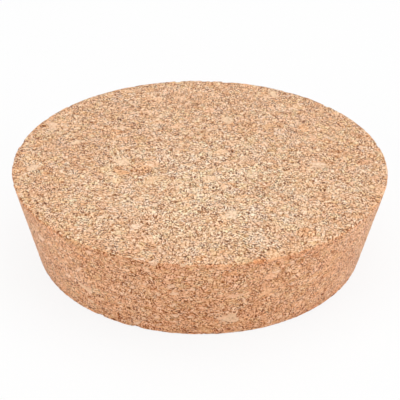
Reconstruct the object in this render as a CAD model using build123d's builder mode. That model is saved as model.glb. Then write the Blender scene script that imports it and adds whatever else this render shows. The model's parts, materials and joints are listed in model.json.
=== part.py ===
"""A wide tapered cork stopper for the mouth of a jar.

It is one piece: a disc of agglomerated cork whose side wall is ground to a cone, with both rims lightly broken.
The stopper stands on its narrow face, as it would on a bench. The origin is the centre of that face, and +Z is the
stopper's axis, from the narrow face that goes into the jar towards the wide face that stays outside.
All sizes are in millimetres.
"""

import os

from build123d import *

# Driving dimensions
TOP_DIAMETER = 102.0  # sharp corner to sharp corner, before the rim is broken
BOTTOM_DIAMETER = 90.0  # likewise
THICKNESS = 25.0
TOP_RIM_RADIUS = 0.4
BOTTOM_RIM_RADIUS = 0.4


# The whole stopper: half of its section turned about the axis, then both rims rounded
with BuildPart() as cork_stopper:
    with BuildSketch(Plane.XZ) as half_section:
        with BuildLine() as outline:
            Polyline(
                (0, 0),
                (BOTTOM_DIAMETER / 2, 0),
                (TOP_DIAMETER / 2, THICKNESS),
                (0, THICKNESS),
                close=True,
            )
        make_face()
    revolve(axis=Axis.Z)

    rims = cork_stopper.edges().filter_by(GeomType.CIRCLE).sort_by(Axis.Z)
    bottom_rim, top_rim = rims[0], rims[-1]
    fillet(top_rim, radius=TOP_RIM_RADIUS)
    fillet(bottom_rim, radius=BOTTOM_RIM_RADIUS)

cork_stopper.part.label = "cork_stopper"

os.makedirs("parts", exist_ok=True)
export_step(cork_stopper.part, "parts/cork_stopper.step")
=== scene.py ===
"""The looks of the cork stopper: granulated and glued cork, cut and ground to a tapered disc.

Objects are in metres in the CAD frame: +Z is up, and the origin is the centre of the narrow face that the stopper
stands on. The cork itself is one pattern in space, written in millimetres. The same functions colour the material and
carve the mesh, so a pore that shows dark is also a hollow, and a granule runs on round the rim from the top into the
wall, as it does in a block of cork.
"""

import json
import math

import bpy
import numpy as np
from mathutils import Matrix, Vector


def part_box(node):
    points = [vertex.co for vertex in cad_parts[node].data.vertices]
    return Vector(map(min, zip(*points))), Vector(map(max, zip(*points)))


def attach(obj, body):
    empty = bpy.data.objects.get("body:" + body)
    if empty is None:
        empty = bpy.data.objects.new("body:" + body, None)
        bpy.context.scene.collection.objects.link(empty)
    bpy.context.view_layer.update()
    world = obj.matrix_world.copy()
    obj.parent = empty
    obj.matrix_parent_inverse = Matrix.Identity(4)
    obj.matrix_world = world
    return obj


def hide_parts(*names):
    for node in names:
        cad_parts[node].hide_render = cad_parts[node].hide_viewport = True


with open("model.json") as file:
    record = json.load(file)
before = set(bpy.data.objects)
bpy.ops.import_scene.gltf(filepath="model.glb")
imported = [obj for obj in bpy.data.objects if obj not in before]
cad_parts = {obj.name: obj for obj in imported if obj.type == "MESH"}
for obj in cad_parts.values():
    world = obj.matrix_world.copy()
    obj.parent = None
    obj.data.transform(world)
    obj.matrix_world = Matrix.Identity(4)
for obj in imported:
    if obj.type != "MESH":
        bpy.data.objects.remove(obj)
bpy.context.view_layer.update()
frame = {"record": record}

MM = 0.001
NODE = "cork_stopper"

# How finely the mesh is cut: cells across a face, and rows down the wall and round each rim
FACE_CELLS = 160
WALL_ROWS = 60
RIM_ROWS = 4

# The baked texture's layout, in millimetres on the unrolled cork
SHEET_MARGIN = 2.0
WALL_STRIPS = 2

# The cork's grain, in millimetres
LARGE_GRANULE = 3.0
SMALL_GRANULE = 1.5
FLATTENING = 1.7
BROKEN_SHARE = 0.55
CRUMB = 1.0
# Pores: how far apart they lie, the radius of the widest as a share of that, and the share of places left without one
PORES = ((2.2, 0.16, 0.45), (9.0, 0.09, 0.5))

# A painted highlight: the middle of a broad soft highlight painted paler into the wide face's colour, and how far it
# reaches
PAINTED_HIGHLIGHT_MIDDLE = (3.0, -16.0, 25.0)
PAINTED_HIGHLIGHT_REACH = 50.0
# How far from a rim granules are torn out, and how far rusty ones are found
CHIP_REACH = 1.3
RUST_REACH = 3.5

# Camera: seen from the front and above, in degrees and millimetres
CAMERA_ELEVATION = 31.0
CAMERA_DISTANCE = 349.8
CAMERA_ROLL = 0.45
LENS = 113.4
AIM_RIGHT = 0.1
AIM_UP = 0.12


def srgb(red, green, blue):
    """A colour written as it shows on screen, 0 to 255, as the linear values that a shader takes."""
    codes = np.array([red, green, blue]) / 255
    linear = np.where(codes <= 0.04045, codes / 12.92, ((codes + 0.055) / 1.055) ** 2.4)
    return (*linear.tolist(), 1.0)


# ---------------------------------------------------------------- mesh


def wall_outline():
    """Radius and height, in mm, down the outside: round the top rim, down the tapered wall, round the bottom rim."""
    low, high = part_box(NODE)
    height = (high.z - low.z) / MM
    seat = next(m for m in frame["record"]["mounts"] if m["name"] == "jar_seat")["dims"]
    slope = (high.x / MM - seat["r_mm"]) / (seat["length_mm"] / 2)
    rim = (height - seat["length_mm"]) / 2
    lean = math.atan(slope)

    def arc(centre_z, start, end):
        wall_radius = seat["r_mm"] + slope * (centre_z - height / 2)
        centre_radius = wall_radius - rim / math.cos(lean)
        turn = np.linspace(start, end, RIM_ROWS + 1)
        return np.column_stack([centre_radius + rim * np.cos(turn), centre_z + rim * np.sin(turn)])

    top = arc(height - rim, math.pi / 2, -lean)
    bottom = arc(rim, -lean, -math.pi / 2)
    share = np.linspace(0, 1, WALL_ROWS + 1)[1:-1, None]
    wall = top[-1] * (1 - share) + bottom[0] * share
    return np.vstack([top, wall, bottom])


def disc_grid():
    """A square grid folded evenly into a disc of radius 1: its points, quads, and the points round its edge."""
    line = np.linspace(-1, 1, FACE_CELLS + 1)
    a, b = (side.ravel() for side in np.meshgrid(line, line, indexing="ij"))
    wide = np.abs(a) >= np.abs(b)
    radius = np.where(wide, a, b)
    other = np.where(wide, b, a)
    eighth = math.pi / 4 * np.divide(other, radius, out=np.zeros_like(other), where=radius != 0)
    angle = np.where(wide, eighth, math.pi / 2 - eighth)
    points = np.column_stack([radius * np.cos(angle), radius * np.sin(angle)])

    index = np.arange(len(points)).reshape(FACE_CELLS + 1, -1)
    corners = [index[:-1, :-1], index[1:, :-1], index[1:, 1:], index[:-1, 1:]]
    quads = np.stack(corners, axis=-1).reshape(-1, 4)
    edge = np.flatnonzero(np.maximum(np.abs(a), np.abs(b)) == 1)
    around = np.arctan2(points[edge, 1], points[edge, 0]).round(6) % math.tau
    return points, quads, edge[np.argsort(around)]


def build_mesh():
    """The stopper's skin in metres, all in quads, with its baking map and how much each point belongs to the wall."""
    outline = wall_outline()
    disc, disc_quads, edge = disc_grid()
    segments = len(edge)
    directions = disc[edge]

    top = np.column_stack([disc * outline[0, 0], np.full(len(disc), outline[0, 1])])
    bottom = np.column_stack([disc * outline[-1, 0], np.full(len(disc), outline[-1, 1])])
    rings = [np.column_stack([directions * r, np.full(segments, z)]) for r, z in outline[1:-1]]
    points = np.vstack([top, bottom, *rings])

    inner = np.arange(len(rings) * segments).reshape(-1, segments) + 2 * len(disc)
    rows = np.vstack([edge, inner, edge + len(disc)])
    rows = np.column_stack([rows, rows[:, 0]])
    corners = [rows[:-1, :-1], rows[1:, :-1], rows[1:, 1:], rows[:-1, 1:]]
    wall_quads = np.stack(corners, axis=-1).reshape(-1, 4)
    quads = np.vstack([disc_quads, disc_quads[:, ::-1] + len(disc), wall_quads])

    mesh = bpy.data.meshes.new("cork_body")
    mesh.from_pydata((points * MM).tolist(), [], quads.tolist())
    mesh.shade_smooth()
    add_baking_map(mesh, points, quads, len(disc_quads), outline, segments)

    wall = np.zeros(len(points), np.float32)
    wall[len(disc) * 2:] = 1.0
    mesh.attributes.new("wall", "FLOAT", "POINT").data.foreach_set("value", wall)
    return mesh


def add_baking_map(mesh, points, quads, disc_count, outline, segments):
    """The unrolled cork on a square sheet: the two faces side by side, and the wall above them in strips."""
    run = np.append(0, np.cumsum(np.linalg.norm(np.diff(outline, axis=0), axis=1)))
    wide, narrow = outline[0, 0], outline[-1, 0]
    sheet = 2 * (wide + narrow) + 3 * SHEET_MARGIN
    strip_length = math.tau * wide / WALL_STRIPS
    strip_pitch = run[-1] + SHEET_MARGIN

    top = points[quads[:disc_count], :2] + (SHEET_MARGIN + wide)
    bottom = points[quads[disc_count:2 * disc_count], :2] * (-1, 1)
    bottom += (2 * SHEET_MARGIN + 2 * wide + narrow, SHEET_MARGIN + narrow)

    row, segment = np.divmod(np.arange(len(quads) - 2 * disc_count), segments)
    per_strip = segments // WALL_STRIPS
    strip, place = np.divmod(segment, per_strip)
    left = SHEET_MARGIN + place / per_strip * strip_length
    right = left + strip_length / per_strip
    head = 2 * SHEET_MARGIN + 2 * wide + (strip + 1) * strip_pitch
    upper, lower = head - run[row], head - run[row + 1]
    corners = [(left, upper), (left, lower), (right, lower), (right, upper)]
    wall = np.stack([np.column_stack(corner) for corner in corners], axis=1)

    layout = np.vstack([top, bottom, wall]).reshape(-1, 2) / sheet
    uv = mesh.uv_layers.new(name="OFBake")
    uv.uv.foreach_set("vector", layout.ravel().astype(np.float32))


# ---------------------------------------------------------------- nodes


class Tree:
    """Adds nodes to a node tree. An input takes a plain value, or the output of another node."""

    def __init__(self, tree):
        self.tree = tree

    def add(self, kind, inputs, **settings):
        node = self.tree.nodes.new(kind)
        for name, value in settings.items():
            setattr(node, name, value)
        for key, value in inputs.items():
            if isinstance(value, bpy.types.NodeSocket):
                self.tree.links.new(value, node.inputs[key])
            else:
                node.inputs[key].default_value = value
        return node

    def math(self, operation, *values):
        return self.add("ShaderNodeMath", dict(enumerate(values)), operation=operation).outputs[0]

    def vector(self, operation, *values):
        node = self.add("ShaderNodeVectorMath", dict(enumerate(values)), operation=operation)
        return node.outputs["Value" if operation in ("LENGTH", "DISTANCE") else "Vector"]

    def scaled(self, place, factor):
        return self.add("ShaderNodeVectorMath", {"Vector": place, "Scale": factor}, operation="SCALE").outputs[0]

    def between(self, value, low, high, start=0.0, end=1.0):
        """Runs smoothly from start to end as value goes from low to high."""
        inputs = {"Value": value, "From Min": low, "From Max": high, "To Min": start, "To Max": end}
        return self.add("ShaderNodeMapRange", inputs, interpolation_type="SMOOTHSTEP").outputs["Result"]

    def mix_vector(self, share, first, second):
        inputs = {0: share, 4: first, 5: second}
        return self.add("ShaderNodeMix", inputs, data_type="VECTOR").outputs[1]

    def mix_number(self, share, first, second):
        return self.add("ShaderNodeMix", {0: share, 2: first, 3: second}, data_type="FLOAT").outputs[0]

    def mix_colour(self, share, first, second, blend_type="MIX"):
        inputs = {0: share, 6: first, 7: second}
        return self.add("ShaderNodeMix", inputs, data_type="RGBA", blend_type=blend_type).outputs[2]

    def split(self, vector):
        return self.add("ShaderNodeSeparateXYZ", {"Vector": vector}).outputs

    def noise(self, place, size, detail=1.0, roughness=0.5, output="Fac"):
        """Soft noise whose blobs are about size millimetres across. Its values lie round 0.5."""
        inputs = {"Vector": place, "Scale": 1 / size, "Detail": detail, "Roughness": roughness}
        return self.add("ShaderNodeTexNoise", inputs).outputs[output]

    def cells(self, place, size, feature="F1"):
        """Voronoi cells about size millimetres across."""
        inputs = {"Vector": place, "Scale": 1 / size}
        return self.add("ShaderNodeTexVoronoi", inputs, feature=feature).outputs

    def ramp(self, value, stops):
        node = self.add("ShaderNodeValToRGB", {"Fac": value})
        while len(node.color_ramp.elements) < len(stops):
            node.color_ramp.elements.new(1.0)
        for element, (position, colour) in zip(node.color_ramp.elements, stops):
            element.position = position
            element.color = colour
        return node.outputs["Color"]


# ---------------------------------------------------------------- cork, as a pattern in space


def ragged(t, place):
    """Bends space a little at two scales, so that cut granules have torn outlines."""
    for size, amount in ((1.6, 0.9), (0.45, 0.28)):
        push = t.vector("SUBTRACT", t.noise(place, size, output="Color"), (0.5, 0.5, 0.5))
        place = t.vector("ADD", place, t.scaled(push, amount))
    return place


def granules(t, place):
    """Granules of two sizes, pressed flat: three random numbers for each granule, and the distance to its seam."""
    pressed = t.vector("MULTIPLY", place, (1.0, 1.0, FLATTENING))
    large = t.cells(pressed, LARGE_GRANULE)["Color"]
    small = t.cells(pressed, SMALL_GRANULE)["Color"]
    large_seam = t.cells(pressed, LARGE_GRANULE, "DISTANCE_TO_EDGE")["Distance"]
    small_seam = t.cells(pressed, SMALL_GRANULE, "DISTANCE_TO_EDGE")["Distance"]
    broken = t.math("LESS_THAN", t.split(large)[0], BROKEN_SHARE)
    identity = t.mix_vector(broken, large, small)
    large_gap = t.math("MULTIPLY", large_seam, LARGE_GRANULE)
    small_gap = t.math("MULTIPLY", small_seam, SMALL_GRANULE)
    seam = t.math("MINIMUM", large_gap, t.mix_number(broken, LARGE_GRANULE, small_gap))
    return identity, seam


def fibres(t, place, identity):
    """Fine lines inside each granule, which lie another way in every granule."""
    turn = t.scaled(identity, math.tau)
    inputs = {"Vector": place, "Rotation": turn}
    turned = t.add("ShaderNodeVectorRotate", inputs, rotation_type="EULER_XYZ").outputs["Vector"]
    drawn = t.vector("MULTIPLY", turned, (0.3, 1.0, 1.0))
    return t.between(t.noise(drawn, 0.3, detail=0.0), 0.3, 0.7, -1.0, 1.0)


def crumbs(t, place):
    """The small bits that granules are made of: random numbers for each bit, and 1 in the thin gaps between them."""
    bits = t.vector("MULTIPLY", place, (1.0, 1.0, FLATTENING))
    chance = t.split(t.cells(bits, CRUMB)["Color"])
    edge = t.math("MULTIPLY", t.cells(bits, CRUMB, "DISTANCE_TO_EDGE")["Distance"], CRUMB)
    return chance, t.between(edge, 0.03, 0.12, 1.0, 0.0)


def pores(t, place):
    """Dark holes of many sizes: 1 in the middle of a pore, 0 outside it."""
    found = 0.0
    for spacing, widest, without in PORES:
        hole = t.cells(place, spacing)
        radius = t.between(t.split(hole["Color"])[0], without, 1.0, 0.0, widest)
        past_edge = t.math("MULTIPLY", t.math("SUBTRACT", hole["Distance"], radius), spacing)
        found = t.math("MAXIMUM", t.between(past_edge, -0.11, 0.04, 1.0, 0.0), found)
    return found


def near_rims(t, clean, reach):
    """1 on either rim of the stopper, falling to 0 at reach millimetres from it."""
    outward = t.vector("LENGTH", t.vector("MULTIPLY", clean, (1.0, 1.0, 0.0)))
    section = t.add("ShaderNodeCombineXYZ", {"X": outward, "Y": t.split(clean)[2]}).outputs[0]
    outline = wall_outline()
    found = 0.0
    for radius, height in (outline[RIM_ROWS // 2], outline[-1 - RIM_ROWS // 2]):
        away = t.vector("DISTANCE", section, (radius, height, 0.0))
        found = t.math("MAXIMUM", t.between(away, 0.2 * reach, reach, 1.0, 0.0), found)
    return found


def rim_chips(t, clean, identity):
    """1 where a granule has been torn out of either rim, 0 elsewhere."""
    torn = t.between(t.split(identity)[2], 0.1, 0.14, 1.0, 0.0)
    return t.math("MULTIPLY", near_rims(t, clean, CHIP_REACH), torn)


# ---------------------------------------------------------------- relief


def carve(piece):
    """Lowers the mesh into pores and seams, and sets each granule a little deeper or less deep than the next."""
    tree = bpy.data.node_groups.new("cork relief", "GeometryNodeTree")
    tree.interface.new_socket("Geometry", in_out="INPUT", socket_type="NodeSocketGeometry")
    tree.interface.new_socket("Geometry", in_out="OUTPUT", socket_type="NodeSocketGeometry")
    tree.is_modifier = True
    t = Tree(tree)
    start = t.add("NodeGroupInput", {})
    position = t.add("GeometryNodeInputPosition", {}).outputs[0]
    normal = t.add("GeometryNodeInputNormal", {}).outputs[0]

    clean = t.scaled(position, 1 / MM)
    place = ragged(t, clean)
    identity, seam = granules(t, place)
    depth = t.math("MULTIPLY", t.split(identity)[1], 0.06)
    depth = t.math("ADD", depth, t.between(seam, 0.0, 0.4, 0.08, 0.0))
    depth = t.math("ADD", depth, t.math("MULTIPLY", pores(t, place), 0.25))
    depth = t.math("ADD", depth, t.math("MULTIPLY", rim_chips(t, clean, identity), 0.25))
    offset = t.scaled(normal, t.math("MULTIPLY", depth, -MM))
    moved = t.add("GeometryNodeSetPosition", {"Geometry": start.outputs[0], "Offset": offset})
    t.add("NodeGroupOutput", {"Geometry": moved.outputs[0]})

    modifier = piece.modifiers.new("relief", "NODES")
    modifier.node_group = tree
    evaluated = piece.evaluated_get(bpy.context.evaluated_depsgraph_get())
    carved = bpy.data.meshes.new_from_object(evaluated)
    piece.modifiers.clear()
    piece.data = carved


# ---------------------------------------------------------------- material


def cork_material():
    material = bpy.data.materials.new("agglomerated cork")
    material.use_nodes = True
    material.node_tree.nodes.clear()
    t = Tree(material.node_tree)
    coordinates = t.add("ShaderNodeTexCoord", {}).outputs["Object"]
    clean = t.scaled(coordinates, 1 / MM)
    place = ragged(t, clean)
    identity, seam = granules(t, place)
    chance = t.split(identity)

    # Tone runs from 0, the darkest crevice, over 0.5, plain cork, to 1, the palest flake
    bit, gap = crumbs(t, t.vector("ADD", place, t.scaled(identity, 7.0)))
    wall = t.add("ShaderNodeAttribute", {}, attribute_name="wall").outputs["Fac"]
    smooth = t.between(chance[2], 0.86, 0.93)
    cream = t.between(chance[2], 0.955, 0.965)
    fine = t.math("MULTIPLY", fibres(t, place, identity), t.between(bit[1], 0.0, 1.0, 0.1, 0.62))
    fine = t.math("MULTIPLY_ADD", t.math("SUBTRACT", gap, 0.34), -0.42, fine)
    fine = t.math("MULTIPLY_ADD", t.math("SUBTRACT", bit[0], 0.54), 0.12, fine)
    fine = t.math("MULTIPLY_ADD", t.between(bit[0], 0.85, 0.92), 0.16, fine)
    contrast = t.mix_number(smooth, t.between(chance[1], 0.0, 1.0, 0.7, 1.25), 0.5)
    contrast = t.math("MULTIPLY", contrast, t.mix_number(wall, 1.0, 0.78))
    tone = t.math("MULTIPLY_ADD", fine, contrast, 0.51)
    tone = t.math("MULTIPLY_ADD", smooth, 0.08, tone)
    tone = t.math("ADD", tone, t.between(chance[1], 0.0, 1.0, -0.04, 0.04))
    patchy = t.noise(clean, 0.9, detail=1.0)
    crevice = t.math("MULTIPLY", t.between(seam, 0.0, 0.22, 1.0, 0.0), t.between(patchy, 0.4, 0.65))
    tone = t.math("MULTIPLY_ADD", crevice, -0.2, tone)
    tone = t.math("MULTIPLY_ADD", pores(t, place), -0.35, tone)
    tone = t.math("MULTIPLY_ADD", rim_chips(t, clean, identity), -0.08, tone)

    colour = t.ramp(tone, [
        (0.00, srgb(96, 46, 18)),
        (0.20, srgb(156, 95, 47)),
        (0.38, srgb(206, 157, 113)),
        (0.50, srgb(231, 193, 156)),
        (0.66, srgb(247, 216, 182)),
        (0.85, srgb(254, 233, 204)),
        (1.00, srgb(255, 243, 222)),
    ])
    tint = t.ramp(chance[0], [
        (0.00, (1.00, 0.92, 0.85, 1.0)),
        (0.25, (1.00, 0.98, 1.00, 1.0)),
        (0.50, (0.97, 1.00, 0.90, 1.0)),
        (0.75, (1.00, 0.95, 0.96, 1.0)),
        (0.92, (1.00, 1.00, 1.00, 1.0)),
        (1.00, (1.00, 0.88, 0.76, 1.0)),
    ])
    colour = t.mix_colour(1.0, colour, tint, "MULTIPLY")
    # Painted highlight: the wide face is paler and less red towards its middle, a soft highlight painted into the
    # colour, with a cloudy edge
    from_middle = t.vector("DISTANCE", clean, PAINTED_HIGHLIGHT_MIDDLE)
    cloudy = t.between(t.noise(clean, 9.0), 0.3, 0.7, -0.3, 0.3)
    outside_painted_highlight = t.math("ADD", t.between(from_middle, 0.0, PAINTED_HIGHLIGHT_REACH), cloudy)
    face = t.mix_colour(outside_painted_highlight, (1.0, 0.99, 0.97, 1.0), (0.95, 0.84, 0.755, 1.0))
    # The wall is tinted darker and redder than the faces: partly painted shade, for the wall lying in more shade than
    # the wide face, and partly the ground wall's own deeper colour
    skin = t.mix_colour(wall, face, (0.915, 0.725, 0.615, 1.0))
    colour = t.mix_colour(1.0, colour, skin, "MULTIPLY")
    colour = t.mix_colour(t.math("MULTIPLY", cream, 0.32), colour, srgb(240, 219, 194))
    rust = t.math("MULTIPLY", near_rims(t, clean, RUST_REACH), t.between(chance[1], 0.72, 0.77))
    colour = t.mix_colour(rust, colour, t.mix_colour(1.0, colour, (0.97, 0.84, 0.74, 1.0), "MULTIPLY"))

    roughness = t.between(tone, 0.2, 0.8, 0.95, 0.8)
    height = t.math("ADD", tone, t.math("MULTIPLY", crevice, -0.3))
    bump = t.add("ShaderNodeBump", {"Height": height, "Strength": 1.0, "Distance": 0.08 * MM}).outputs[0]
    shader = t.add("ShaderNodeBsdfPrincipled", {
        "Base Color": colour,
        "Roughness": roughness,
        "Specular IOR Level": 0.2,
        "Sheen Weight": 0.35,
        "Sheen Roughness": 0.3,
        "Normal": bump,
    })
    t.add("ShaderNodeOutputMaterial", {"Surface": shader.outputs[0]})
    return material


# ---------------------------------------------------------------- stage


def add_floor():
    """A plain white floor. To the camera it is mostly plain white, and keeps a soft share of the shadow."""
    mesh = bpy.data.meshes.new("floor")
    half = 3.0
    mesh.from_pydata([(-half, -half, 0), (half, -half, 0), (half, half, 0), (-half, half, 0)], [], [(0, 1, 2, 3)])
    floor = bpy.data.objects.new("floor", mesh)
    bpy.context.scene.collection.objects.link(floor)
    material = bpy.data.materials.new("white floor")
    material.use_nodes = True
    material.node_tree.nodes.clear()
    t = Tree(material.node_tree)
    paper = t.add("ShaderNodeBsdfDiffuse", {"Color": (0.85, 0.85, 0.85, 1.0)}).outputs[0]
    white = t.add("ShaderNodeEmission", {"Color": (1.0, 1.0, 1.0, 1.0), "Strength": 1.0}).outputs[0]
    ray = t.add("ShaderNodeLightPath", {}).outputs
    seen = t.math("MAXIMUM", ray["Is Camera Ray"], t.math("MAXIMUM", ray["Is Glossy Ray"], ray["Is Transmission Ray"]))
    shader = t.add("ShaderNodeMixShader", {0: t.math("MULTIPLY", seen, 0.86), 1: paper, 2: white})
    t.add("ShaderNodeOutputMaterial", {"Surface": shader.outputs[0]})
    mesh.materials.append(material)


def add_world():
    """White for the camera, and an even studio glow for everything else."""
    world = bpy.data.worlds.new("studio")
    world.use_nodes = True
    world.node_tree.nodes.clear()
    t = Tree(world.node_tree)
    ray = t.add("ShaderNodeLightPath", {}).outputs
    seen = t.math("MAXIMUM", ray["Is Camera Ray"], t.math("MAXIMUM", ray["Is Glossy Ray"], ray["Is Transmission Ray"]))
    strength = t.mix_number(seen, 0.6, 1.0)
    glow = t.add("ShaderNodeBackground", {"Color": (1.0, 1.0, 1.0, 1.0), "Strength": strength})
    t.add("ShaderNodeOutputWorld", {"Surface": glow.outputs[0]})
    bpy.context.scene.world = world


def add_softbox(name, place, size, power, target):
    """A large square lamp at place, in metres, turned to its target."""
    lamp = bpy.data.lights.new(name, "AREA")
    lamp.size = size
    lamp.energy = power
    box = bpy.data.objects.new(name, lamp)
    box.location = place
    box.rotation_euler = (Vector(target) - Vector(place)).to_track_quat("-Z", "Y").to_euler()
    bpy.context.scene.collection.objects.link(box)


def add_camera(middle):
    """Looks along +Y and down at the middle of the stopper."""
    elevation = math.radians(CAMERA_ELEVATION)
    back = Vector((0.0, -math.cos(elevation), math.sin(elevation)))
    right = Vector((1.0, 0.0, 0.0))
    up = back.cross(right)
    aim = middle + (right * AIM_RIGHT + up * AIM_UP) * MM
    data = bpy.data.cameras.new("camera")
    data.lens = LENS
    camera = bpy.data.objects.new("camera", data)
    facing = Matrix((right, up, back)).transposed().to_4x4()
    camera.matrix_world = (
        Matrix.Translation(aim + back * CAMERA_DISTANCE * MM)
        @ facing
        @ Matrix.Rotation(math.radians(CAMERA_ROLL), 4, "Z")
    )
    bpy.context.scene.collection.objects.link(camera)
    bpy.context.scene.camera = camera


def main():
    low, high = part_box(NODE)
    middle = (low + high) / 2
    body = bpy.data.objects.new("cork_body", build_mesh())
    bpy.context.scene.collection.objects.link(body)
    carve(body)
    body.data.materials.append(cork_material())
    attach(body, "root")
    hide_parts(NODE)

    add_floor()
    add_world()
    add_softbox("overhead", (0.1, 0.1, 0.9), 0.9, 3.5, middle)
    add_softbox("front left", (-0.85, -0.4, 0.25), 0.7, 4.2, middle)
    add_softbox("front right", (0.92, -0.3, 0.25), 0.7, 5.2, middle)
    add_camera(middle)
    bpy.context.scene.view_settings.view_transform = "Standard"


main()
